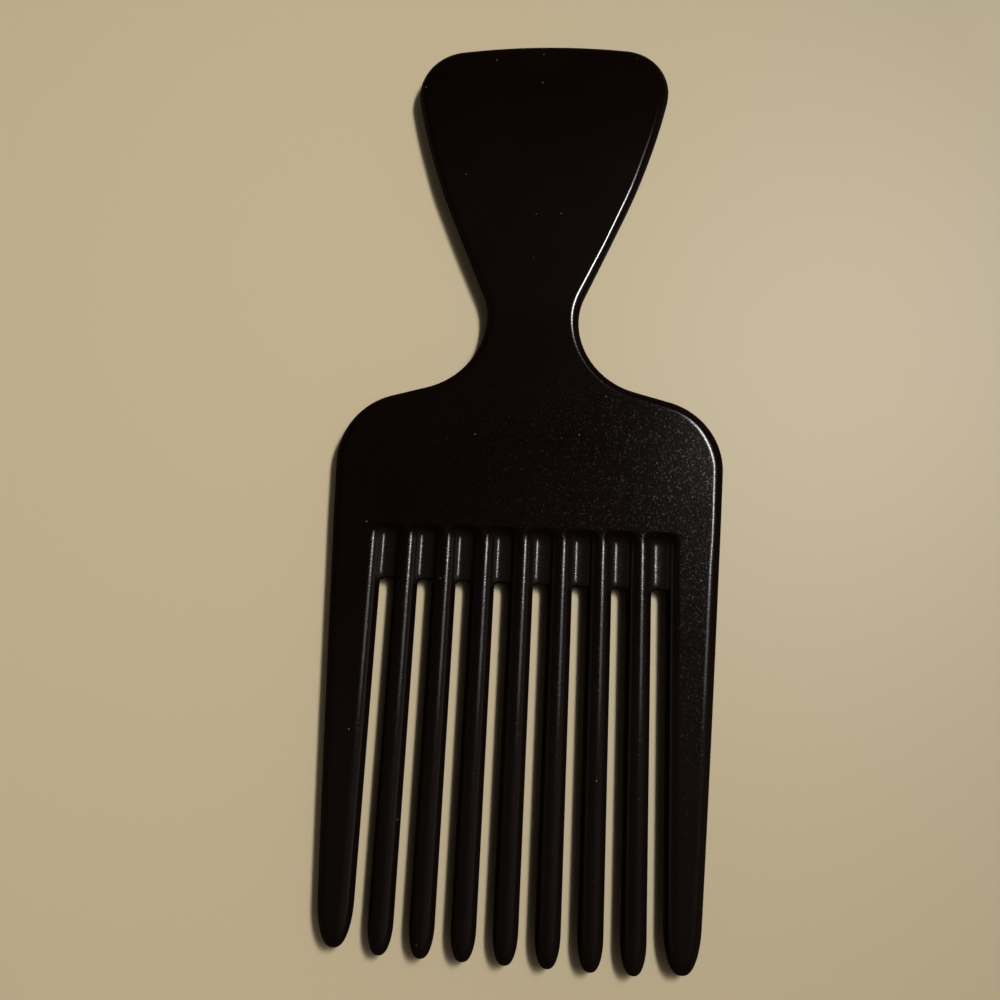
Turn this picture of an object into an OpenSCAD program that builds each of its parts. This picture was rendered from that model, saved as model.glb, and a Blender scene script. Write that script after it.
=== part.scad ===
// Afro pick: one moulding that lies flat, with its teeth towards -Y and its grip towards +Y.
// The sub-parts are the zones of that moulding, cut where they meet face to face.
// The origin is under the middle of the pick, on the surface that it lies on.

/* [Moulding] */
// Thickness of the plate
thick = 4.2; // [3.2:0.1:5.4]
// Width of the rounded rim, in from the edge
rim_w = 2.1; // [1:0.1:2.6]

/* [Grip] */
// Widest part of the grip
grip_w = 48.3; // [42:0.1:56]
// Length from the top edge to the waist
grip_len = 57; // [50:1:75]
// Radius of the two top corners
grip_corner_r = 9.2; // [6:0.1:12]
// Radius of the bowed top edge
grip_top_r = 131; // [80:1:300]
// Extra lean of the straight part of the sides, in degrees
side_bulge = 3; // [1:0.1:7]
// Length of the straight part of the sides
side_straight = 17.5; // [1:0.1:20]

/* [Waist and shoulders] */
// Width of the waist
waist_w = 16.8; // [12:0.1:22]
// Radius of the waist, on both sides
waist_r = 13.8; // [9:0.1:17]
// Fall of the shoulders, in degrees
shoulder_angle = 15.2; // [6:0.1:26]
// Radius of the shoulder corners
shoulder_r = 12.5; // [6:0.1:15]
// Length of the plate from the shoulder corners to the grooves
head_len = 11.4; // [6:0.1:30]

/* [Teeth] */
// Distance between the centre lines of neighbouring teeth
tooth_pitch = 6.68; // [6:0.01:7.6]
// Width of an inner tooth at its root
tooth_w = 4.15; // [3:0.05:4.8]
// Width of an inner tooth where its nose starts
tooth_tip_w = 4.1; // [2:0.05:4.8]
// Free length of the teeth
tooth_len = 59.9; // [35:0.1:90]
// Length of an inner tooth's rounded nose
tooth_nose = 5; // [3:0.1:12]
// Width of an outer tooth at the shoulder corners
guard_w = 9.5; // [8:0.05:14]
// Width of an outer tooth where its nose starts
guard_tip_w = 5.9; // [5.2:0.05:7.8]
// Length of an outer tooth's rounded nose
guard_nose = 7; // [4:0.1:14]
// How far the outer teeth end above the inner ones
guard_short = 0.6; // [0:0.1:3]

/* [Root grooves] */
// Length of the grooves between the tooth roots
root_len = 9.6; // [4:0.1:16]
// Thickness of the web at the bottom of a groove
web_t = 1.2; // [0.6:0.1:2]
// Width of the fillet from a tooth down to the web
web_fillet = 1.45; // [0.6:0.05:1.6]
// Length of the rounded upper end of a groove
groove_head = 1.8; // [0.6:0.1:3]
// Rise of the arch at the closed end of a slot
slot_arch = 0.8; // [0.3:0.1:1.2]

/* [Hidden] */
plastic = "#171615";

// Inner teeth stand between two wider outer ones.
tooth_count = 7;
// Steps round a rim or a tooth, in degrees, and steps along an arc of the outline.
rim_step = 18;
arc_steps = 10;
// Height round a tooth, in degrees, at which the webs meet it.
web_angle = 2 * rim_step;
// Steps of the rounded ends, and how near the last one comes to the point, in degrees.
nose_step = 14;
nose_end = 84;
// Steps round the upper end of a groove, in degrees.
head_step = 22.5;
// Length over which a tooth swells from its web faces to its full round.
swell = 0.1;

half_t = thick / 2;

// The right-hand outline of the grip is a waist circle, a straight, a side arc, a corner and the top bow.
waist_c = [waist_w / 2 + waist_r, 0];
corner_x = grip_w / 2 - grip_corner_r;
corner_c = [corner_x, grip_len - grip_top_r + sqrt(pow(grip_top_r - grip_corner_r, 2) - corner_x * corner_x)];
centres = waist_c - corner_c;
tangent_angle = asin((waist_r + grip_corner_r) / norm(centres)) - atan2(centres.x, -centres.y);
flare_angle = tangent_angle + side_bulge;
side_start = waist_c - waist_r * unit(-flare_angle);
side_dir = unit(90 - flare_angle);
side_in = -unit(-flare_angle);
corner_along = (corner_c - side_start) * side_dir;
corner_depth = (corner_c - side_start) * side_in;
side_rise = pow(corner_along - side_straight, 2) / (corner_depth - grip_corner_r);
side_r = (side_rise + grip_corner_r + corner_depth) / 2;
side_c = side_start + side_straight * side_dir + side_r * side_in;
corner_start = atan2(corner_c.y - side_c.y, corner_c.x - side_c.x);
corner_end = acos(corner_x / (grip_top_r - grip_corner_r));

// The outer teeth set the width of the head, and the shoulders fall from the waist to it.
slot_half = (tooth_pitch - tooth_w) / 2;
guard_in = tooth_count * tooth_pitch / 2 + slot_half;
head_half = guard_in + guard_w;
tip_half = guard_in + guard_tip_w;
fall_angle = 90 - shoulder_angle;
fall_start = waist_c - waist_r * unit(fall_angle);
shoulder_x = head_half - shoulder_r;
shoulder_y = fall_start.y - (shoulder_r + (shoulder_x - fall_start.x) * cos(fall_angle)) / sin(fall_angle);

// Heights along the pick, from the ends of the teeth up.
length = tooth_len + root_len + head_len - shoulder_y + grip_len;
tip_y = -length / 2;
slot_y = tip_y + tooth_len;
root_y = slot_y + root_len;
corner_y = root_y + head_len;
waist_y = corner_y - shoulder_y;
leg_y = slot_y - slot_arch;
guard_tip_y = tip_y + guard_short;

// A web meets its two teeth on upright faces, this far from a tooth's centre line.
face_x = tooth_w / 2 * cos(web_angle);
face_z = half_t * sin(web_angle);
web_half = tooth_pitch / 2 - face_x;
fillet_w = min(web_fillet, web_half);
fillet_power = half_t / (tooth_w / 2) / tan(web_angle) * fillet_w / (face_z - web_t / 2);

function unit(a) = [cos(a), sin(a)];
function flip(list) = [for (k = [len(list) - 1:-1:0]) list[k]];

// A stretch of outline is a list of places, each with the direction that faces out there, in degrees.
function arc(c, r, from, to, last = arc_steps - 1) =
    [for (k = [0:last]) let (a = from + (to - from) * k / arc_steps) [c + r * unit(a), a]];
function hollow_arc(c, r, from, to) =
    [for (k = [0:arc_steps]) let (a = from + (to - from) * k / arc_steps) [c - r * unit(a), a]];
function other_side(path) = [for (q = flip(path)) [[-q[0].x, q[0].y], 180 - q[1]]];

// Half the width of the head and of the outer teeth at height y.
function side_x(y) =
    head_half + (tip_half - head_half) * (corner_y - y) / (corner_y - guard_tip_y - guard_nose);

// How deep a groove is at y, as a share of its full depth.
function depth_share(y) = y > root_y - groove_head ? sqrt(1 - pow(1 - (root_y - y) / groove_head, 2)) : 1;
root_rows = [for (a = [0:head_step:90]) root_y - groove_head * (1 - cos(a))];

// Joins rings of n points with a skin. Seen from the last ring, each one runs anticlockwise.
function skin(n, count) =
    [for (k = [0:n:(count - 2) * n], j = [0:n - 1]) let (i = (j + 1) % n)
        each [[k + j, k + n + j, k + n + i], [k + j, k + n + i, k + i]]];

// Covers a ring whose two sides mirror each other, rung by rung, like a ladder.
function ladder(n) =
    [for (k = [0:ceil(n / 2) - 2])
        each [[k, k + 1, n - 1 - k], if (k + 1 < n - 2 - k) [k + 1, n - 2 - k, n - 1 - k]]];

// A plate with a rounded rim, from its outline.
module rimmed_plate(path) {
    n = len(path);
    rings = [for (a = [-90:rim_step:90])
        [for (q = path)
            let (p = q[0] - rim_w * (1 - cos(a)) * unit(q[1]))
            [p.x, p.y, half_t * (1 + sin(a))]]];
    top = (len(rings) - 1) * n;
    lid = [for (face = ladder(n)) [for (i = flip(face)) top + i]];
    polyhedron([for (ring = rings) each ring], concat(skin(n, len(rings)), ladder(n), lid));
}

// A rod through rings of points, closed at each end by a fan about the middle of its ring.
module rod(rings) {
    n = len(rings[0]);
    last = (len(rings) - 1) * n;
    hub = last + n;
    middles = [for (ring = [rings[0], rings[len(rings) - 1]]) (ring[0] + ring[n / 2]) / 2];
    ends = [for (j = [0:n - 1]) let (i = (j + 1) % n)
        each [[hub, j, i], [hub + 1, last + i, last + j]]];
    polyhedron(concat([for (ring = rings) each ring], middles), concat(skin(n, len(rings)), ends));
}

// A slab with upright walls, the same above and below the middle of the plate. A row runs along +X, and each
// next row lies lower along Y.
module slab(rows) {
    n = len(rows[0]);
    m = len(rows);
    top = [for (row = rows, p = row) [p.x, p.y, half_t + p.z]];
    bottom = [for (row = rows, p = row) [p.x, p.y, half_t - p.z]];
    b = n * m;
    skins = [for (k = [0:n:b - 2 * n], j = [k:k + n - 2]) each [
        [j, j + 1, j + n + 1], [j, j + n + 1, j + n],
        [b + j, b + j + n + 1, b + j + 1], [b + j, b + j + n, b + j + n + 1]]];
    end_walls = [for (j = [0:n - 2]) let (e = b - n + j) each [
        [j, b + j, b + j + 1, j + 1], [e, e + 1, b + e + 1, b + e]]];
    side_walls = [for (k = [0:n:b - 2 * n]) let (e = k + n - 1) each [
        [k, k + n, b + k + n, b + k], [e, b + e, b + e + n, e + n]]];
    polyhedron(concat(top, bottom), concat(skins, end_walls, side_walls));
}

// One side of a tooth's section: a half round, cut upright where a web meets it. The crown is flat where the
// groove has no depth yet, and fully round where the groove is at its full depth.
function section_side(centre, r_x, from, share, webbed) =
    [for (a = [from:rim_step:from + 180]) let (rise = asin(sin(a)), up = rise < 0 ? -1 : 1)
        abs(rise) > web_angle - rim_step / 2
            ? [centre + r_x * cos(a), up * (half_t - (half_t - abs(half_t * sin(a))) * share)]
            : [centre + (cos(a) < 0 ? -1 : 1) * (webbed ? face_x : r_x * abs(cos(a))),
               webbed ? rise / web_angle * (half_t - (half_t - face_z) * share) : half_t * sin(a)]];

// Places a section at y, drawn in towards its centre by a share.
function placed(section, y, centre, share) =
    [for (p = section) [centre + (p.x - centre) * share, y, half_t + p.y * share]];

// A round nose: its heights above the tip, as shares of its length, with the width left there.
function nose(nose_len) =
    [for (a = [0:nose_step:nose_end]) [nose_len * (1 - sin(a) / sin(nose_end)), cos(a)]];

module inner_tooth(i) {
    centre = (i - (tooth_count + 1) / 2) * tooth_pitch;
    taper = tooth_tip_w / tooth_w;
    round_section = half_sides(centre, 1, false);
    rows = [for (y = concat(root_rows, leg_y))
        placed(half_sides(centre, depth_share(y), true), y, centre, 1)];
    free_rows = [placed(round_section, leg_y - swell, centre, 1)];
    nose_rows = [for (q = nose(tooth_nose)) placed(round_section, tip_y + q[0], centre, taper * q[1])];
    color(plastic) rod(concat(rows, free_rows, nose_rows));
}

// The two half rounds of an inner tooth share their top and bottom points.
function half_sides(centre, share, webbed) =
    let (right = section_side(centre, tooth_w / 2, -90, share, webbed),
         left = section_side(centre, tooth_w / 2, 90, share, webbed))
    concat(right, [for (k = [1:len(left) - 2]) left[k]]);

// An outer tooth is flat on top, with the plate's rim outside and a tooth's round inside.
function guard_section(y, share, webbed) =
    concat([for (a = [-90:rim_step:90]) [side_x(y) - rim_w * (1 - cos(a)), half_t * sin(a)]],
           section_side(guard_in + tooth_w / 2, tooth_w / 2, 90, share, webbed));

module right_guard() {
    rows = [for (y = concat(root_rows, leg_y)) placed(guard_section(y, depth_share(y), true), y, 0, 1)];
    free_y = leg_y - swell;
    free_rows = [placed(guard_section(free_y, 1, false), free_y, 0, 1)];
    nose_rows = [for (q = nose(guard_nose)) let (y = guard_tip_y + q[0])
        placed(guard_section(y, 1, false), y, (guard_in + side_x(y)) / 2, q[1])];
    rod(concat(rows, free_rows, nose_rows));
}

module guard_tooth(side) {
    color(plastic) mirror([side == "left" ? 1 : 0, 0, 0]) right_guard();
}

// A web is thin in the middle, rises to its teeth in fillets, and ends in an arch over the slot.
function web_height(x, y) =
    let (near = max(0, 1 - (web_half - abs(x)) / fillet_w),
         full = web_t / 2 + (face_z - web_t / 2) * pow(near, fillet_power))
    half_t - (half_t - full) * depth_share(y);
function arch_y(x) = abs(x) < slot_half ? leg_y + slot_arch * sqrt(1 - pow(x / slot_half, 2)) : leg_y;

module root_web(i) {
    centre = (i - (tooth_count + 1) / 2 - 1 / 2) * tooth_pitch;
    over_slot = [for (a = [-90:rim_step:90]) slot_half * sin(a)];
    beside = (web_half + slot_half) / 2;
    across = concat(-web_half, -beside, over_slot, beside, web_half);
    rows = [for (y = root_rows) [for (x = across) [centre + x, y, web_height(x, y)]]];
    end_row = [for (x = across) [centre + x, arch_y(x), web_height(x, leg_y)]];
    color(plastic) slab(concat(rows, [end_row]));
}

module grip() {
    right = concat(
        hollow_arc(waist_c, waist_r, 0, -flare_angle),
        arc(side_c, side_r, -flare_angle, corner_start),
        arc(corner_c, grip_corner_r, corner_start, corner_end),
        arc([0, grip_len - grip_top_r], grip_top_r, corner_end, 90, arc_steps));
    left = other_side(right);
    path = concat(right, [for (k = [1:len(left) - 1]) left[k]]);
    color(plastic) translate([0, waist_y, 0]) rimmed_plate(path);
}

module shoulders() {
    down = concat(
        hollow_arc(waist_c, waist_r, 0, fall_angle),
        arc([shoulder_x, shoulder_y], shoulder_r, fall_angle, 0, arc_steps));
    right = flip(down);
    color(plastic) translate([0, waist_y, 0]) rimmed_plate(concat(right, other_side(right)));
}

module head_plate() {
    right = [for (y = [root_y, corner_y]) [[side_x(y), y], 0]];
    color(plastic) rimmed_plate(concat(right, other_side(right)));
}

grip();
shoulders();
head_plate();
guard_tooth("left");  // guard_tooth_left
guard_tooth("right");  // guard_tooth_right
inner_tooth(1);  // tooth_1
inner_tooth(2);  // tooth_2
inner_tooth(3);  // tooth_3
inner_tooth(4);  // tooth_4
inner_tooth(5);  // tooth_5
inner_tooth(6);  // tooth_6
inner_tooth(7);  // tooth_7
root_web(1);  // root_web_1
root_web(2);  // root_web_2
root_web(3);  // root_web_3
root_web(4);  // root_web_4
root_web(5);  // root_web_5
root_web(6);  // root_web_6
root_web(7);  // root_web_7
root_web(8);  // root_web_8
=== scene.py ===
# %% [markdown]
# # An afro pick in black plastic
#
# The pick is one injection moulding. It lies flat on a pale table, with its grip away from us and its
# teeth towards us. This notebook shapes the moulding as one skin, cuts it into its zones, gives it a
# satin black finish, and lights it softly from the upper right, under a dim sky.

# %% Load the frame
import math

import bmesh
import bpy
from mathutils import Matrix, Vector


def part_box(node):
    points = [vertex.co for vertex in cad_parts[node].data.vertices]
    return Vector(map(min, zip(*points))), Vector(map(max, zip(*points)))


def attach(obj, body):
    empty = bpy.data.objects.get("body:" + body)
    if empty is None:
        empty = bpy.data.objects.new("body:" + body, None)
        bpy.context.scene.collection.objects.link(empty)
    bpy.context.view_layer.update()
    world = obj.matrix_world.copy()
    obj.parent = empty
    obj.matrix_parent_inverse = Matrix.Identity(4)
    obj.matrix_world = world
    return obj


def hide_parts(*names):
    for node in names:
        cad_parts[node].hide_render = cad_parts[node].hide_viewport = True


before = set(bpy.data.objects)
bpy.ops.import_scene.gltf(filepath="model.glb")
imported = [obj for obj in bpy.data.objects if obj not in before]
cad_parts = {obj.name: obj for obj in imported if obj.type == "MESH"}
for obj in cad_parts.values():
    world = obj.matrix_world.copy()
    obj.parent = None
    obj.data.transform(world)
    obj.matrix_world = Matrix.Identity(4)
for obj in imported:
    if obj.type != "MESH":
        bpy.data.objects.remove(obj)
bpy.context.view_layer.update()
MM = 0.001

# %% [markdown]
# ## Sizes
#
# The main sizes are read off the frame, so the dressed moulding lies exactly where the plain one does.
# Heights are first counted from the middle of the plate, because the moulding is the same above and
# below it. The finer sizes, such as the radii of the outline, stand in the cells that need them.
#
# The pick lies along y, with its grip at the high end. Going up it, the teeth start at tip_y and stand
# free up to leg_y, where the webs begin. The grooves end at root_y, the head at corner_y, the shoulders
# at waist_y and the grip at top_y.

# %% Sizes from the frame
TOOTH_COUNT = 7
tooth_low, tooth_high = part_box("tooth_4")
web_low, web_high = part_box("root_web_4")
guard_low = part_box("guard_tooth_right")[0]
head_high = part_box("head_plate")[1]
grip_low, grip_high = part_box("grip")

half_t = tooth_high.z / 2
tooth_r = (tooth_high.x - tooth_low.x) / 2
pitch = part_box("tooth_5")[0].x - tooth_low.x
tip_y, root_y = tooth_low.y, tooth_high.y
leg_y = web_low.y
web_half = (web_high.x - web_low.x) / 2
slot_half = pitch / 2 - tooth_r
guard_in, guard_tip_y = guard_low.x, guard_low.y
head_half, corner_y = head_high.x, head_high.y
waist_y, top_y, grip_half = grip_low.y, grip_high.y, grip_high.x
print(f"pitch {pitch / MM:.2f} mm, slot {2 * slot_half / MM:.2f} mm wide")
print(f"teeth {(root_y - tip_y) / MM:.1f} mm long, plate {2 * half_t / MM:.1f} mm thick")

# %% [markdown]
# ## A patch of skin
#
# The skin of a moulding is smooth, so each stretch of it can be a grid that is pressed onto its form.
# The grid comes from an operator, and a small function says where each crossing of its lines goes.
# Neighbouring patches share their border points, and these are merged when all patches are down.
#
# Many forms start and end softly. One helper does that for all of them.

# %% Patch helper
def patch(skin, columns, rows, place):
    """Lays a grid of columns by rows of faces, and moves crossing (i, j) to place(i, j)."""
    made = bmesh.ops.create_grid(skin, x_segments=columns, y_segments=rows, size=1)["verts"]
    assert len(made) == (columns + 1) * (rows + 1)
    for vert in made:
        i = round((vert.co.x + 1) / 2 * columns)
        j = round((vert.co.y + 1) / 2 * rows)
        vert.co = place(i, j)


def ease(share):
    """Rises from 0 to 1 with a soft start and a soft end, while share goes from 0 to 1."""
    share = min(max(share, 0), 1)
    return share * share * (3 - 2 * share)


skin = bmesh.new()
print("a quarter of the way along, ease has risen by", ease(0.25))

# %% [markdown]
# ## Outline of the plate
#
# The outline of grip, waist and shoulders is drawn with a pen. A straight stretch is a point that is
# extruded, and an arc is a point that is spun about the arc's centre. Each arc sets off in the direction
# in which the stretch before it ends, so no corner shows. Only the right half is drawn, and the left
# half mirrors it.
#
# First come the centres of the arcs. An arc touches a line if its centre lies one radius away from it,
# and another arc if the two centres lie as far apart as the sum or the difference of the radii.

# %% Directions
def unit(degrees):
    """The direction that many degrees round from +X."""
    return Vector((math.cos(math.radians(degrees)), math.sin(math.radians(degrees)), 0))


def heading(vector):
    """The direction of a vector, in degrees."""
    return math.degrees(math.atan2(vector.y, vector.x))


print("unit(90) is", unit(90).to_tuple(1), "and its heading", heading(unit(90)))

# %% Arcs of shoulder, waist, corner and top
SHOULDER_R = 12.5 * MM
SHOULDER_ANGLE = 15.2
WAIST_HALF = 8.4 * MM
WAIST_R = 13.8 * MM
GRIP_CORNER_R = 9.2 * MM
GRIP_TOP_R = 131 * MM

shoulder_c = Vector((head_half - SHOULDER_R, corner_y, 0))
fall = 90 - SHOULDER_ANGLE
waist_c = Vector((WAIST_HALF + WAIST_R, waist_y, 0))
corner_x = grip_half - GRIP_CORNER_R
corner_drop = math.sqrt((GRIP_TOP_R - GRIP_CORNER_R) ** 2 - corner_x ** 2)
top_c = Vector((0, top_y - GRIP_TOP_R, 0))
corner_c = top_c + Vector((corner_x, corner_drop, 0))
print(f"waist {2 * WAIST_HALF / MM:.1f} mm wide, corners {2 * corner_x / MM:.1f} mm apart")

# %% [markdown]
# The side of the grip leaves the waist in a straight line. A line that touches both the waist's arc and
# the corner's would be flat all the way, but the real side bulges. So the line flares a few degrees
# more than that, and ends in a long arc, which bends it back to the corner.

# %% Side of the grip
SIDE_STRAIGHT = 17.5 * MM
SIDE_BULGE = 3

between = waist_c - corner_c
cross_angle = math.degrees(math.asin((WAIST_R + GRIP_CORNER_R) / between.length))
flare = cross_angle - math.degrees(math.atan2(between.x, -between.y)) + SIDE_BULGE
side_start = waist_c - WAIST_R * unit(-flare)
side_dir = unit(90 - flare)
side_in = -unit(-flare)
bent_len = (corner_c - side_start).dot(side_dir) - SIDE_STRAIGHT
bent_deep = (corner_c - side_start).dot(side_in)

# With this radius the long arc touches the corner's, because the centres lie the radii's difference apart.
side_r =(bent_len ** 2 / (bent_deep - GRIP_CORNER_R) + GRIP_CORNER_R + bent_deep) / 2
side_c = side_start + SIDE_STRAIGHT * side_dir + side_r * side_in
corner_from = heading(corner_c - side_c)
corner_to = heading(corner_c - top_c)
print(f"flare {flare:.1f} degrees, side radius {side_r / MM:.0f} mm")

# %% [markdown]
# Below the shoulders the head and the outer teeth share one long side. It tapers towards the tips, and
# bows out a little on the way.

# %% Side of the head
GUARD_TIP_HALF = guard_in + 5.9 * MM
GUARD_NOSE = 7.0 * MM
SIDE_BOW = 0.13 * MM
TAPER_LOW_Y = guard_tip_y + GUARD_NOSE


def side_x(y):
    """Half the width of the head and of the outer teeth at height y, with a bow of SIDE_BOW half-way."""
    share = (corner_y - y) / (corner_y - TAPER_LOW_Y)
    return head_half + (GUARD_TIP_HALF - head_half) * share + 4 * SIDE_BOW * share * (1 - share)


print(f"head {2 * side_x(root_y) / MM:.2f} mm wide at the roots of the teeth")
print(f"outer teeth {2 * side_x(TAPER_LOW_Y) / MM:.2f} mm across where their noses begin")

# %% Pen
ARC_STEP = 2.5
pen_board = bmesh.new()


def line_to(point, steps=1):
    """Extrudes the pen's last point in equal steps."""
    pen_board.verts.ensure_lookup_table()
    last = pen_board.verts[-1]
    step = (point - last.co) / steps
    for _ in range(steps):
        last = bmesh.ops.extrude_vert_indiv(pen_board, verts=[last])["verts"][0]
        last.co += step


def arc(centre, degrees, step=ARC_STEP):
    """Spins the pen's last point about a centre, in steps of that many degrees or a little less."""
    pen_board.verts.ensure_lookup_table()
    bmesh.ops.spin(
        pen_board, geom=[pen_board.verts[-1]], cent=centre, axis=(0, 0, 1),
        angle=math.radians(degrees), steps=math.ceil(abs(degrees) / step))


pen_board.verts.new((side_x(root_y), root_y, 0))
print(f"the pen starts {side_x(root_y) / MM:.2f} mm right of the middle, where the grooves end")

# %% Draw the right half
HEAD_STEPS = 5
LINE_STEPS = 6
LONG_ARC_STEP = 1

for n in range(1, HEAD_STEPS + 1):
    y = root_y + (corner_y - root_y) * n / HEAD_STEPS
    line_to(Vector((side_x(y), y, 0)))
arc(shoulder_c, fall)
line_to(waist_c - WAIST_R * unit(fall), LINE_STEPS)
arc(waist_c, -fall)
arc(waist_c, -flare)
line_to(side_start + SIDE_STRAIGHT * side_dir, LINE_STEPS)
arc(side_c, corner_from + flare, LONG_ARC_STEP)
arc(corner_c, corner_to - corner_from)
arc(top_c, 90 - corner_to, LONG_ARC_STEP)
pen_board.verts.ensure_lookup_table()
right = [vert.co.copy() for vert in pen_board.verts]
pen_board.free()

# Rounding in the spins must not lift the top above the frame's.
for point in right:
    point.y = min(point.y, top_y)
outline = right + [Vector((-p.x, p.y, 0)) for p in reversed(right[:-1])]
print("outline points:", len(outline))

# %% [markdown]
# ## The rounded rim
#
# The rim rises from the parting line at mid height, in a short wall and a quarter round. The round is
# tightest on the narrow part of the grip, just above the waist. It is widest where the head begins, and
# there it takes up the whole height. A bevel would give it one width all along, so it is laid in rows:
# each row is the outline, moved in and up. A point moves in along the mitre of its two edges, so that
# arcs stay arcs. The two ends move straight across, to meet the outer teeth.

# %% Width of the rim
# Each pair is a place along the pick and the width of the round there, both in millimetres.
RIM_PLACES_MM = [
    (-20, 2.05), (-12, 1.9), (-4, 2.0), (4, 2.35), (18, 1.7), (26, 1.7),
    (33, 1.26), (40, 1.06), (50, 1.2), (60, 1.55), (72, 1.6),
]
RIM_STEPS = 12
WALL_STEPS = 2


def rim_width(y):
    """Width of the round at height y, eased from one of the places in the list to the next."""
    place = min(max(y / MM, RIM_PLACES_MM[0][0]), RIM_PLACES_MM[-1][0])
    for (low, low_width), (high, high_width) in zip(RIM_PLACES_MM, RIM_PLACES_MM[1:]):
        if place <= high:
            return (low_width + (high_width - low_width) * ease((place - low) / (high - low))) * MM


def rim_section(j, y):
    """How far in, and how high, row j of the rim is at height y."""
    width = rim_width(y)
    turn = math.radians(90 * j / RIM_STEPS)
    rise = min(width, half_t)
    wall = (half_t - rise) * min(j / WALL_STEPS, 1)
    return width * (1 - math.cos(turn)), wall + rise * math.sin(turn)


rim_widths = [width for _, width in RIM_PLACES_MM]
print("rim", min(rim_widths), "to", max(rim_widths), "mm wide")
print(f"rim {rim_width(waist_y) / MM:.2f} mm wide where the waist is narrowest")


# %% Lay the rim
def mitre(k):
    """The way in from outline point k, long enough that both its edges move in by one."""
    if k in (0, len(outline) - 1):
        return Vector((-1 if k == 0 else 1, 0, 0))
    before = (outline[k] - outline[k - 1]).normalized()
    after = (outline[k + 1] - outline[k]).normalized()
    inward = Vector((-before.y - after.y, before.x + after.x, 0))
    return inward / (1 + before.dot(after))


ways_in = [mitre(k) for k in range(len(outline))]


def rim_point(i, j):
    """Outline point i on row j of the rim."""
    inset, height = rim_section(j, outline[i].y)
    return outline[i] + ways_in[i] * inset + Vector((0, 0, height))


patch(skin, len(outline) - 1, RIM_STEPS, rim_point)
print("faces in the rim:", len(skin.faces))

# %% [markdown]
# ## Root grooves
#
# Between two tooth roots the plate thins to a web. A groove is as deep as it will be within a short,
# soft ramp at its head. So the depth of everything in it is a share of the full depth, and the height
# along the pick sets that share. A web meets its teeth part of the way up, in hollow fillets.

# %% Depth of a groove
ROOT_ROWS = 20
ROW_POWER = 1.7
GROOVE_HEAD = 1.8 * MM


def sunk(height, y):
    """Lowers the plate's flat to a height, by the groove's depth at y."""
    return half_t - (half_t - height) * ease((root_y - y) / GROOVE_HEAD)


def root_row(j, low_y):
    """The height along the pick of row j in a groove. The rows are closest together at its head."""
    return root_y - (root_y - low_y) * (j / ROOT_ROWS) ** ROW_POWER


print(f"grooves {(root_y - leg_y) / MM:.1f} mm long, first row {(root_y - root_row(1, leg_y)) / MM:.2f} mm")

# %% Thickness of a web
WEB_HALF_T = 0.6 * MM
WEB_FILLET = 1.6 * MM
FILLET_POWER = 2.8
web_angle = math.acos((pitch / 2 - web_half) / tooth_r)
face_z = half_t * math.sin(web_angle)


def web_height(x):
    """Half the thickness of a web, x away from its middle."""
    near = max(0, 1 - (web_half - abs(x)) / WEB_FILLET)
    return WEB_HALF_T + (face_z - WEB_HALF_T) * near ** FILLET_POWER


print(f"web {2 * web_height(0) / MM:.1f} mm thick in its middle, {2 * face_z / MM:.1f} mm at the teeth")

# %% [markdown]
# ## Teeth
#
# A tooth is round where it stands free. At its root only the crown shows, because the webs meet it part
# of the way down, so there its sides are left out. The nose is the same section drawn in to a point, a
# little blunter than an ellipse would be.

# %% Section and nose of a tooth
LOBE_STEPS = 4
CROWN_STEPS = 12
FREE_ROWS = 10
NOSE_ROWS = 14
NOSE_POWER = 0.78


def section_angle(i):
    """The angle of column i round a tooth, from its right-hand side over the top to its left."""
    if i <= LOBE_STEPS:
        return web_angle * i / LOBE_STEPS
    if i >= LOBE_STEPS + CROWN_STEPS:
        return math.pi - web_angle * (2 * LOBE_STEPS + CROWN_STEPS - i) / LOBE_STEPS
    return web_angle + (math.pi - 2 * web_angle) * (i - LOBE_STEPS) / CROWN_STEPS


def free_row(j, end_y, nose_len):
    """The height along the pick of row j below the web, and the width left there by the nose."""
    if j <= FREE_ROWS:
        return leg_y + (end_y + nose_len - leg_y) * j / FREE_ROWS, 1
    angle = math.pi / 2 * (j - FREE_ROWS) / NOSE_ROWS
    return end_y + nose_len * (1 - math.sin(angle)), max(math.cos(angle), 0) ** NOSE_POWER


print("columns over a tooth:", 2 * LOBE_STEPS + CROWN_STEPS, "rows down it:", FREE_ROWS + NOSE_ROWS)

# %% Inner teeth
TOOTH_TIP_SHARE = 0.988
TOOTH_NOSE = 5.0 * MM


def lay_tooth(centre):
    """The crown at the root and the free length of one inner tooth."""
    def root_point(i, j):
        angle = section_angle(i + LOBE_STEPS)
        y = root_row(j, leg_y)
        return Vector((centre + tooth_r * math.cos(angle), y, sunk(half_t * math.sin(angle), y)))

    def free_point(i, j):
        angle = section_angle(i)
        y, width = free_row(j, tip_y, TOOTH_NOSE)
        width *= 1 + (TOOTH_TIP_SHARE - 1) * min(j / FREE_ROWS, 1)
        return Vector((centre + tooth_r * width * math.cos(angle), y, half_t * width * math.sin(angle)))

    patch(skin, CROWN_STEPS, ROOT_ROWS, root_point)
    patch(skin, 2 * LOBE_STEPS + CROWN_STEPS, FREE_ROWS + NOSE_ROWS, free_point)


tooth_centres = [(k - (TOOTH_COUNT - 1) / 2) * pitch for k in range(TOOTH_COUNT)]
for centre in tooth_centres:
    lay_tooth(centre)
print("inner teeth:", len(tooth_centres))

# %% [markdown]
# An outer tooth is wider. Its inner side is round like the other teeth, its outer side is the plate's
# rim, and its top is flat between the two. Only the inner side is lowered by a groove.

# %% Outer teeth
FLAT_STEPS = 4
HALF_CROWN = CROWN_STEPS // 2


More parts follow.
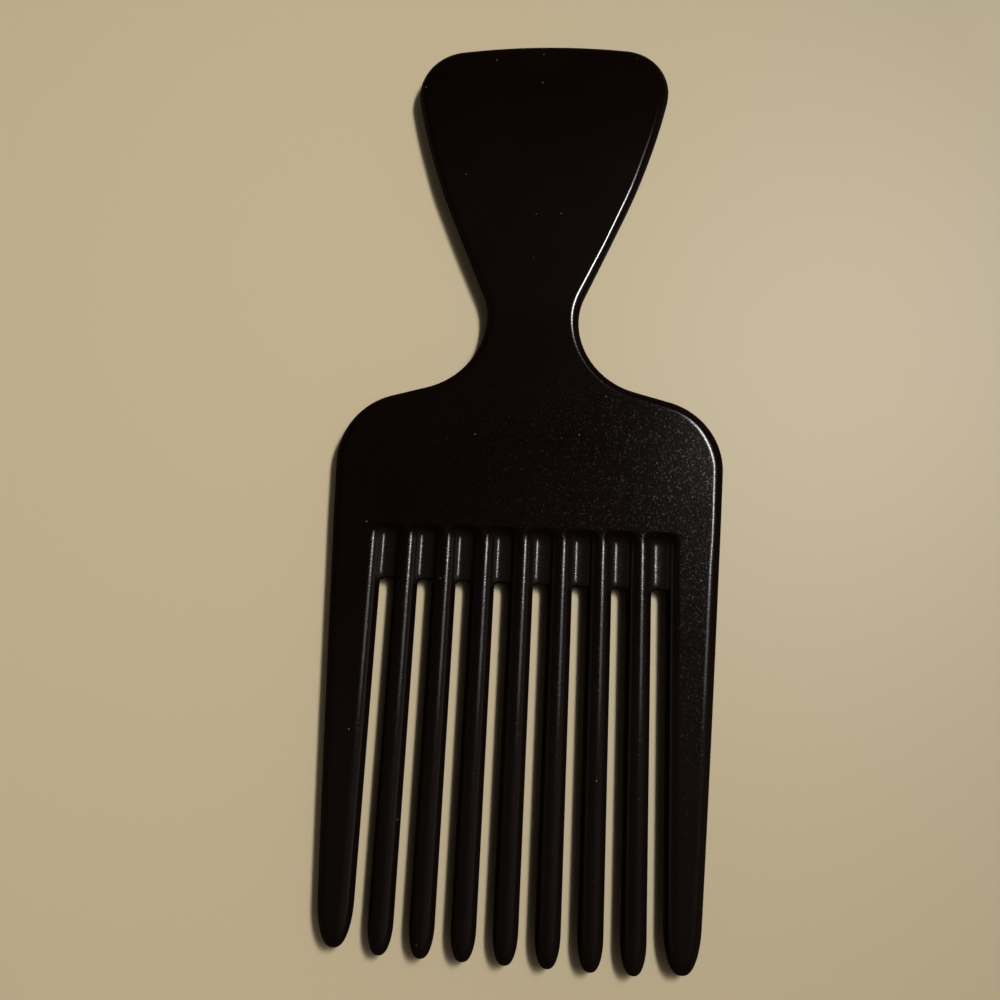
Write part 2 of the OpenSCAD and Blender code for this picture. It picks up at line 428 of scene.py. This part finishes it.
def guard_section(i, y):
    """Place and height of column i across the right outer tooth, and whether a groove lowers it."""
    if i <= RIM_STEPS:
        inset, height = rim_section(i, y)
        return side_x(y) - inset, height, False
    flat_low, flat_high = side_x(y) - rim_width(y), guard_in + tooth_r
    if i <= RIM_STEPS + FLAT_STEPS:
        share = (i - RIM_STEPS) / FLAT_STEPS
        return flat_low + (flat_high - flat_low) * share, half_t, False
    angle = section_angle(i - RIM_STEPS - FLAT_STEPS + LOBE_STEPS + HALF_CROWN)
    return flat_high + tooth_r * math.cos(angle), half_t * math.sin(angle), True


def lay_guard(side):
    """One outer tooth: side is 1 on the right and -1 on the left."""
    def root_point(i, j):
        y = root_row(j, leg_y)
        x, height, lowered = guard_section(i, y)
        return Vector((side * x, y, sunk(height, y) if lowered else height))

    def free_point(i, j):
        y, width = free_row(j, guard_tip_y, GUARD_NOSE)
        x, height, _ = guard_section(i, y)
        middle = (guard_in + side_x(y)) / 2
        return Vector((side * (middle + (x - middle) * width), y, height * width))

    patch(skin, RIM_STEPS + FLAT_STEPS + HALF_CROWN, ROOT_ROWS, root_point)
    patch(skin, RIM_STEPS + FLAT_STEPS + HALF_CROWN + LOBE_STEPS, FREE_ROWS + NOSE_ROWS, free_point)


for side in (1, -1):
    lay_guard(side)
print("faces with all teeth:", len(skin.faces))

# %% [markdown]
# ## Webs and slot ends
#
# A web is a thin floor that rises to its teeth in the fillets. Its lower edge is an arch over the slot.
# The edge is rounded like the teeth at its sides, and like a thin lip at its top, and turns from one
# into the other.

# %% Webs
WEB_STEPS = 20
SLOT_ARCH = 0.8 * MM
arch_rise = SLOT_ARCH + web_half - slot_half


def lay_web(centre):
    """The top of one web, and the rounded edge of the slot below it."""
    def lip(i):
        angle = math.pi * (1 - i / WEB_STEPS)
        return Vector((web_half * math.cos(angle), leg_y + arch_rise * math.sin(angle), 0)), angle

    def floor_point(i, j):
        low, _ = lip(i)
        y = root_row(j, low.y)
        return Vector((centre + low.x, y, sunk(web_height(low.x), y)))

    def edge_point(i, j):
        top, angle = lip(i)
        slot = Vector((slot_half * math.cos(angle), leg_y + SLOT_ARCH * math.sin(angle), 0))
        turn_end = web_angle + (math.pi / 2 - web_angle) * math.sin(angle) ** 2
        turn = turn_end * j / LOBE_STEPS
        in_share = (1 - math.cos(turn)) / (1 - math.cos(turn_end))
        height = web_height(top.x) * math.sin(turn) / math.sin(turn_end)
        place = slot.lerp(top, in_share)
        return Vector((centre + place.x, place.y, height))

    patch(skin, WEB_STEPS, ROOT_ROWS, floor_point)
    patch(skin, WEB_STEPS, LOBE_STEPS, edge_point)


web_centres = [(k - TOOTH_COUNT / 2) * pitch for k in range(TOOTH_COUNT + 1)]
for centre in web_centres:
    lay_web(centre)
print("webs:", len(web_centres))

# %% [markdown]
# ## Close the moulding
#
# The patches are merged along their borders, and the flat of the plate is one face inside the rim. That
# face is cut where the zones will part. The upper half is then mirrored below the parting line, and the
# whole is raised to lie on the table.

# %% Merge, fill and mirror
WELD = 0.002 * MM
TINY = WELD / 4


def everything():
    """All parts of the skin, as an operator wants them."""
    return skin.verts[:] + skin.edges[:] + skin.faces[:]


bmesh.ops.remove_doubles(skin, verts=skin.verts, dist=WELD)
bmesh.ops.dissolve_degenerate(skin, dist=TINY, edges=skin.edges)
flat_edges = [
    edge for edge in skin.edges
    if edge.is_boundary and all(vert.co.z > half_t - WELD for vert in edge.verts)
]
bmesh.ops.contextual_create(skin, geom=flat_edges)
for y in (waist_y, corner_y):
    bmesh.ops.bisect_plane(skin, geom=everything(), dist=WELD, plane_co=(0, y, 0), plane_no=(0, 1, 0))
bmesh.ops.mirror(skin, geom=everything(), merge_dist=WELD, axis="Z")
bmesh.ops.recalc_face_normals(skin, faces=skin.faces)
bmesh.ops.translate(skin, verts=skin.verts, vec=(0, 0, half_t))
open_edges = [edge for edge in skin.edges if not edge.is_manifold]
print("faces:", len(skin.faces), "open edges:", len(open_edges))
print(f"volume {skin.calc_volume() / MM ** 3:.0f} mm3")

# %% [markdown]
# ## Cut it into its zones
#
# The skin is cut along the lines where the frame's zones meet, so that each zone can be picked out by
# name. A zone gets plain walls where it was cut. Its shading normals are those of the whole skin, so no
# seam shows. On the flats the normals stand straight up, or straight down on the underside.

# %% Normals of the whole skin
normal_layer = skin.verts.layers.float_vector.new("skin_normal")
skin.normal_update()
for vert in skin.verts:
    away = vert.co.z - half_t
    vert[normal_layer] = vert.normal
    if abs(away) > half_t - WELD:
        vert[normal_layer] = Vector((0, 0, math.copysign(1, away)))
print("normals kept:", len(skin.verts))


# %% Which zone a face is in
def zone_of(face):
    """The name of the zone that a face of the skin belongs to."""
    middle = face.calc_center_median()
    if middle.y > waist_y:
        return "grip"
    if middle.y > corner_y:
        return "shoulders"
    if middle.y > root_y:
        return "head_plate"
    if middle.y > leg_y:
        for k, centre in enumerate(web_centres):
            if abs(middle.x - centre) < web_half:
                return f"root_web_{k + 1}"
    if abs(middle.x) > guard_in:
        return "guard_tooth_right" if middle.x > 0 else "guard_tooth_left"
    nearest = min(range(TOOTH_COUNT), key=lambda k: abs(middle.x - tooth_centres[k]))
    return f"tooth_{nearest + 1}"


print("faces of the grip:", sum(zone_of(face) == "grip" for face in skin.faces))

# %% Walls where a zone is cut
X_AXIS, Y_AXIS = 0, 1
cut_places = [centre + side * web_half for centre in web_centres for side in (-1, 1)]


def near(a, b):
    """Whether two places along an axis are the same."""
    return abs(a - b) < WELD


def wall(zone, axis, place):
    """Closes the open edges that lie in one upright plane with flat walls."""
    edges = [
        edge for edge in zone.edges
        if (edge.is_boundary or edge.is_wire) and all(near(vert.co[axis], place) for vert in edge.verts)
    ]
    if edges:
        bmesh.ops.edgeloop_fill(zone, edges=edges)


def add_corners(zone):
    """Adds the upright edges where two walls of a tooth or a web will meet."""
    for x in cut_places:
        for y in (root_y, leg_y):
            ends = [vert for vert in zone.verts if near(vert.co.x, x) and near(vert.co.y, y)]
            if len(ends) == 2:
                bmesh.ops.contextual_create(zone, geom=ends)


print("upright planes between teeth and webs:", len(cut_places))


# %% Cut out each zone
def cut_out(name):
    """A closed mesh of one zone, with the whole skin's normals."""
    zone = skin.copy()
    others = [face for face in zone.faces if zone_of(face) != name]
    bmesh.ops.delete(zone, geom=others, context="FACES")
    if "tooth" in name or "web" in name:
        add_corners(zone)
        for x in cut_places:
            wall(zone, X_AXIS, x)
    for y in (waist_y, corner_y, root_y, leg_y):
        wall(zone, Y_AXIS, y)
    bmesh.ops.recalc_face_normals(zone, faces=zone.faces)
    still_open = sum(not edge.is_manifold for edge in zone.edges)
    for face in zone.faces:
        face.smooth = True
    mesh = bpy.data.meshes.new(f"pick_{name}")
    zone.to_mesh(mesh)
    zone.free()
    normals = [item.vector.copy() for item in mesh.attributes["skin_normal"].data]
    mesh.normals_split_custom_set_from_vertices(normals)
    mesh.attributes.remove(mesh.attributes["skin_normal"])
    return mesh, still_open


pieces = {}
for name in sorted(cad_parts):
    mesh, still_open = cut_out(name)
    piece = bpy.data.objects.new(f"pick_{name}", mesh)
    bpy.context.scene.collection.objects.link(piece)
    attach(piece, "root")
    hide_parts(name)
    pieces[name] = piece
    if still_open:
        print(name, "has open edges:", still_open)
skin.free()
print("pieces:", len(pieces), "faces:", sum(len(piece.data.polygons) for piece in pieces.values()))

# %% [markdown]
# ## Black plastic
#
# The plastic is nearly black, with a satin gloss. With one colour and one gloss it would look too clean,
# so each thing that the eye notices on the real moulding is a layer of its own. A layer is a number at
# every point of the skin, made from noise or from the place along the pick, and it feeds the colour,
# the gloss or the bump. All layers read Object coordinates, so they run on across the zones without a
# seam.
#
# A small class stands for a wire between two nodes. Sums of wires add Math nodes, so a formula for the
# shader reads like any other formula.

# %% Shader helper
def fill(tree, slot, value):
    """Links a wire into a socket, or sets the socket's own value."""
    if isinstance(value, Wire):
        tree.links.new(value.socket, slot)
    else:
        slot.default_value = value


class Wire:
    """A shader socket that can stand in sums, and whose node() method adds any other kind of node."""

    def __init__(self, tree, socket):
        self.tree = tree
        self.socket = socket

    def node(self, kind, settings, **values):
        """Adds a node, sets it and fills its inputs. Its outputs come back as wires, by name."""
        made = self.tree.nodes.new(kind)
        for key, value in settings.items():
            setattr(made, key, value)
        slots = {slot.identifier.replace(" ", "_"): slot for slot in made.inputs}
        for key, value in values.items():
            fill(self.tree, slots[key], value)
        return {slot.identifier: Wire(self.tree, slot) for slot in made.outputs}

    def math(self, operation, first, second):
        """Adds a Math node over two terms."""
        made = self.node("ShaderNodeMath", {"operation": operation}, Value=first, Value_001=second)
        return made["Value"]

    def __add__(self, other):
        return self.math("ADD", self, other)

    def __radd__(self, other):
        return self.math("ADD", other, self)

    def __sub__(self, other):
        return self.math("SUBTRACT", self, other)

    def __rsub__(self, other):
        return self.math("SUBTRACT", other, self)

    def __mul__(self, other):
        return self.math("MULTIPLY", self, other)

    def __rmul__(self, other):
        return self.math("MULTIPLY", other, self)

    def __gt__(self, other):
        return self.math("GREATER_THAN", self, other)

    def __lt__(self, other):
        return self.math("LESS_THAN", self, other)


# %% Noise, ramp and blend
PER_MM = 1 / MM


def noise(place, per_mm, detail):
    """Noise with about so many bumps per millimetre, roughened by so many finer layers."""
    made = place.node(
        "ShaderNodeTexNoise", {}, Vector=place, Scale=per_mm * PER_MM, Detail=detail)
    return made["Fac"]


def ramp(value, low, high, most=1.0):
    """Rises smoothly from 0 to most while the value goes from low to high."""
    made = value.node(
        "ShaderNodeMapRange", {"interpolation_type": "SMOOTHSTEP"},
        Value=value, From_Min=low, From_Max=high, To_Min=0.0, To_Max=most)
    return made["Result"]


def blend(share, low, high):
    """Mixes two colours by a share."""
    mix = share.node(
        "ShaderNodeMix", {"data_type": "RGBA"}, Factor_Float=share, A_Color=low, B_Color=high)
    return mix["Result_Color"]


print(f"a pattern of one wave per millimetre has scale {PER_MM:.0f}")

# %% Start the plastic
plastic = bpy.data.materials.new("black_plastic")
plastic.use_nodes = True
tree = plastic.node_tree
gloss = tree.nodes["Principled BSDF"]
place = Wire(tree, tree.nodes.new("ShaderNodeTexCoord").outputs["Object"])
parts = place.node("ShaderNodeSeparateXYZ", {}, Vector=place)
across, along, up = parts["X"], parts["Y"], parts["Z"]
in_grooves = (along < root_y) * (along > leg_y) * (across * across < (guard_in + tooth_r) ** 2)
print("nodes so far:", len(tree.nodes))

# %% [markdown]
# ### Colour, dust and painted sheen
#
# Broad clouds shift the black a little. Low in the grooves the colour is lightened, partly by dust and
# partly as a painted sheen, and a faint painted sheen grows towards the tips of the teeth. A few specks of
# dust lie on top. A speck is the middle of a cell in a Voronoi pattern, and only the few cells that drew a
# high number get one.

# %% Specks
SPECKS_PER_MM = 0.22
SPECK_R = 0.022
SPECK_RARE = 0.94
SPECK_GAIN = 12

cells = place.node(
    "ShaderNodeTexVoronoi", {"voronoi_dimensions": "2D"}, Vector=place, Scale=SPECKS_PER_MM * PER_MM)
chance = place.node("ShaderNodeSeparateColor", {}, Color=cells["Color"])["Red"]
speck = (cells["Distance"] < SPECK_R) * (chance > SPECK_RARE) * (chance - SPECK_RARE) * SPECK_GAIN
print(f"specks are {2 * SPECK_R / SPECKS_PER_MM:.1f} mm wide, in one cell of {1 / (1 - SPECK_RARE):.0f}")

# %% Dust and painted sheen in the grooves, painted sheen on the teeth
DUST_AND_SHEEN_FROM = 4.1 * MM
DUST_AND_SHEEN_TO = 3.0 * MM
GROOVE_DUST_AND_SHEEN_SHARE = 0.013
TIP_SHEEN_FROM = -5 * MM
TIP_SHEEN_TO = -60 * MM
TIP_SHEEN_SHARE = 0.008

# Low in the grooves the colour is lightened: partly dust, partly a painted sheen.
groove_dust_and_sheen = ramp(up, DUST_AND_SHEEN_FROM, DUST_AND_SHEEN_TO) * in_grooves
# A painted sheen: the colour lightens towards the tips of the teeth.
tip_sheen = ramp(along, TIP_SHEEN_FROM, TIP_SHEEN_TO, TIP_SHEEN_SHARE)
# Printed: the share of dust and painted sheen in the grooves, and of painted sheen at the tips.
print("dust in the grooves:", GROOVE_DUST_AND_SHEEN_SHARE, "film at the tips:", TIP_SHEEN_SHARE)

# %% Colour
BLACK = (0.0020, 0.0006, 0.0004, 1)
BLACK_WARM = (0.0032, 0.0016, 0.0011, 1)
DUST_AND_SHEEN = (0.21, 0.19, 0.145, 1)
CLOUDS_PER_MM = 0.06
CLOUD_DETAIL = 3.0

clouds = noise(place, CLOUDS_PER_MM, CLOUD_DETAIL)
# The pale colour is blended in for specks of dust, for dust and painted sheen in the grooves, and for a
# painted sheen towards the tips.
colour = blend(speck + GROOVE_DUST_AND_SHEEN_SHARE * groove_dust_and_sheen + tip_sheen, blend(clouds, BLACK, BLACK_WARM), DUST_AND_SHEEN)
fill(tree, gloss.inputs["Base Color"], colour)
print("nodes for the colour:", len(tree.nodes))

# %% [markdown]
# ### Grain and gloss
#
# The mould left a very fine grain, which breaks highlights up, and slow waves, which bend them. Both
# are bump, because they are far too small to model. The head and the teeth are worn, so tiny rough spots
# on them catch the lamp as glints. Dust softens the highlights in the grooves. The hand has polished the
# grip, which a clear coat shows.

# %% Grain and waves
GRAIN_PER_MM = 3.4
GRAIN_HIGH = 0.013 * MM
WAVES_PER_MM = 0.12
WAVES_HIGH = 0.02 * MM
BUMP_DETAIL = 1.0

grain = noise(place, GRAIN_PER_MM, BUMP_DETAIL) * GRAIN_HIGH
waves = noise(place, WAVES_PER_MM, BUMP_DETAIL) * WAVES_HIGH
normal = place.node("ShaderNodeBump", {}, Height=grain + waves, Strength=1.0, Distance=1.0)["Normal"]
fill(tree, gloss.inputs["Normal"], normal)
print(f"grain {GRAIN_HIGH / MM:.3f} mm high, waves {WAVES_HIGH / MM:.3f} mm")

# %% Gloss and glints
GLOSS = 0.4
ROUGH = 0.10
ROUGH_CLOUDS = 0.04
DUSTY_ROUGH = 0.03
GLINTS_PER_MM = 3.0
GLINT_DETAIL = 2.0
GLINT_FROM = 0.52
GLINT_TO = 0.80
GLINT_ROUGH = 0.19
WORN_FROM = 26 * MM
WORN_TO = 2 * MM

worn = ramp(along, WORN_FROM, WORN_TO)
spots = noise(place, GLINTS_PER_MM, GLINT_DETAIL)
glint = ramp(spots, GLINT_FROM, GLINT_TO, GLINT_ROUGH) * worn
fill(tree, gloss.inputs["Roughness"], ROUGH + ROUGH_CLOUDS * clouds + DUSTY_ROUGH * groove_dust_and_sheen + glint)
fill(tree, gloss.inputs["Specular IOR Level"], GLOSS)
print("roughness from", ROUGH, "to", ROUGH + ROUGH_CLOUDS + DUSTY_ROUGH + GLINT_ROUGH)

# %% Polish on the grip
POLISH_FROM = 22 * MM
POLISH_TO = 31 * MM
POLISH_ROUGH = 0.12

fill(tree, gloss.inputs["Coat Weight"], ramp(along, POLISH_FROM, POLISH_TO))
fill(tree, gloss.inputs["Coat Roughness"], POLISH_ROUGH)
print(f"the polish begins {POLISH_FROM / MM:.0f} mm above the middle of the pick")

# %% [markdown]
# ### Matt sides
#
# The steep sides of the real moulding are matt and show no reflection of the table, where a plain gloss
# would show a strong one. So a dull shader without any reflection takes over as the surface turns away
# from the eye. It takes over at the heads of the grooves too, just below the plate's flat.

# %% Dull sides and groove heads
FACING_BLEND = 0.5
DULL_FROM = 0.11
DULL_TO = 0.25
DULL_MOST = 0.97
DULL_GLOSS = 0.0
DULL_ROUGH = 0.5
HEAD_DULL_FROM = root_y - 3.2 * MM
HEAD_DULL_TO = root_y - 1.4 * MM
HEAD_DULL_TOP = 4.17 * MM

facing = place.node("ShaderNodeLayerWeight", {}, Blend=FACING_BLEND)["Facing"]
steep = ramp(facing, DULL_FROM, DULL_TO, DULL_MOST)
groove_head = ramp(along, HEAD_DULL_FROM, HEAD_DULL_TO, DULL_MOST) * (up < HEAD_DULL_TOP) * in_grooves
dull_share = 1 - (1 - steep) * (1 - groove_head)
dull = place.node(
    "ShaderNodeBsdfPrincipled", {},
    Base_Color=colour, Roughness=DULL_ROUGH, Specular_IOR_Level=DULL_GLOSS)
both = place.node(
    "ShaderNodeMixShader", {},
    Fac=dull_share, Shader=Wire(tree, gloss.outputs["BSDF"]), Shader_001=dull["BSDF"])
fill(tree, tree.nodes["Material Output"].inputs["Surface"], both["Shader"])
print("nodes in the plastic:", len(tree.nodes))

# %% Put the plastic on
for piece in pieces.values():
    piece.data.materials.append(plastic)
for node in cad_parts.values():
    node.data.materials.clear()
    node.data.materials.append(plastic)
print("pieces with the plastic:", len(pieces))

# %% [markdown]
# ## Table
#
# The table is a plain warm white sheet. A lamp this close would light its right side far more than its
# left. So the paint deepens towards the lamp, and the sheet looks as even as the real one.

# %% Table
TABLE_SIZE = 3.0
TABLE_PALE = (0.622, 0.507, 0.320, 1)
TABLE_DEEP = (0.268, 0.220, 0.134, 1)
TABLE_ROUGH = 0.6
DEEP_IN_MIDDLE = 0.5
DEEPER_RIGHT = 4.5
DEEPER_UP = 1.6


def table():
    """A large flat sheet under the pick."""
    bm = bmesh.new()
    bmesh.ops.create_grid(bm, x_segments=1, y_segments=1, size=TABLE_SIZE / 2)
    mesh = bpy.data.meshes.new("table")
    bm.to_mesh(mesh)
    bm.free()
    material = bpy.data.materials.new("table_paint")
    material.use_nodes = True
    tree = material.node_tree
    shader = tree.nodes["Principled BSDF"]
    place = Wire(tree, tree.nodes.new("ShaderNodeTexCoord").outputs["Object"])
    parts = place.node("ShaderNodeSeparateXYZ", {}, Vector=place)
    share = DEEP_IN_MIDDLE + DEEPER_RIGHT * parts["X"] + DEEPER_UP * parts["Y"]
    fill(tree, shader.inputs["Base Color"], blend(share, TABLE_PALE, TABLE_DEEP))
    fill(tree, shader.inputs["Roughness"], TABLE_ROUGH)
    mesh.materials.append(material)
    made = bpy.data.objects.new("table", mesh)
    bpy.context.scene.collection.objects.link(made)


table()
print("table", TABLE_SIZE, "m wide")

# %% [markdown]
# ## Lamp and sky
#
# A soft lamp stands high up on the right, beyond the grip, so that the shadows fall short and to the
# left. It is brighter in its middle than around it, which is why three oblong lights share its place. A
# dim sky fills the shadows a little. It is brightest near the horizon, and a little brighter on the
# right.

# %% Lamp
LAMP_AT = Vector((223, 134, 400)) * MM
CORE_SIZE = (50 * MM, 230 * MM)
CORE_POWER = 0.83
HEART_SIZE = (50 * MM, 125 * MM)
HEART_POWER = 1.75
HEART_SLIP = 32 * MM
GLOW_SIZE = (185 * MM, 360 * MM)
GLOW_POWER = 0.36
GLOW_SLIP = -30 * MM


def lamp(name, size, power, slip=0):
    """One oblong light that faces the pick. Its long side runs along the pick, and slip is along it."""
    light = bpy.data.lights.new(name, "AREA")
    light.shape = "RECTANGLE"
    light.size, light.size_y = size
    light.energy = power
    made = bpy.data.objects.new(name, light)
    back = LAMP_AT.normalized()
    across = Vector((0, 1, 0)).cross(back).normalized()
    made.matrix_world = Matrix((across, back.cross(across), back)).transposed().to_4x4()
    made.location = LAMP_AT + back.cross(across) * slip
    bpy.context.scene.collection.objects.link(made)


lamp("lamp", CORE_SIZE, CORE_POWER)
lamp("heart", HEART_SIZE, HEART_POWER, HEART_SLIP)
lamp("glow", GLOW_SIZE, GLOW_POWER, GLOW_SLIP)
print(f"lamp {LAMP_AT.length:.2f} m away, {CORE_POWER + HEART_POWER + GLOW_POWER:.2f} W")

# %% Sky
SKY = (1.0, 0.90, 0.76, 1)
SKY_PLAIN = 0.018
SKY_LOW = 2.0
SKY_LOW_POWER = 6
SKY_RIGHT = 0.12


def sky():
    """A dim sky that is brightest near the horizon, and a little brighter on the right."""
    world = bpy.data.worlds.new("sky")
    world.use_nodes = True
    tree = world.node_tree
    direction = Wire(tree, tree.nodes.new("ShaderNodeTexCoord").outputs["Generated"])
    parts = direction.node("ShaderNodeSeparateXYZ", {}, Vector=direction)
    low = 1 - direction.math("MAXIMUM", parts["Z"], 0)
    very_low = direction.math("POWER", low, SKY_LOW_POWER)
    right = direction.math("MAXIMUM", parts["X"], 0)
    back = tree.nodes["Background"]
    fill(tree, back.inputs["Color"], SKY)
    fill(tree, back.inputs["Strength"], SKY_PLAIN + SKY_LOW * very_low + SKY_RIGHT * right)
    bpy.context.scene.world = world


sky()
print("sky overhead:", SKY_PLAIN, "and at the horizon:", SKY_PLAIN + SKY_LOW)

# %% [markdown]
# ## Camera
#
# The picture was taken with a wide lens, close above the pick. The teeth are parallel and equally
# spaced, so the way they draw together in the picture tells how the camera was tipped.

# %% Camera
FRAME_PX = 1000
FOCAL_PX = 774.3
SENSOR_MM = 36
CLIP_START = 10 * MM
CAMERA_AT = Vector((6.04, -34.28, 135.37)) * MM
CAMERA_TURN = (11.271, 3.893, 2.8785)


def camera():
    """A wide lens close above the pick, tipped as the photograph shows."""
    data = bpy.data.cameras.new("camera")
    data.sensor_width = SENSOR_MM
    data.lens = FOCAL_PX / FRAME_PX * SENSOR_MM
    data.clip_start = CLIP_START
    made = bpy.data.objects.new("camera", data)
    made.location = CAMERA_AT
    made.rotation_euler = [math.radians(angle) for angle in CAMERA_TURN]
    bpy.context.scene.collection.objects.link(made)
    bpy.context.scene.camera = made


camera()
bpy.context.scene.view_settings.view_transform = "Standard"
print(f"lens {FOCAL_PX / FRAME_PX * SENSOR_MM:.1f} mm, {CAMERA_AT.z / MM:.0f} mm above the table")
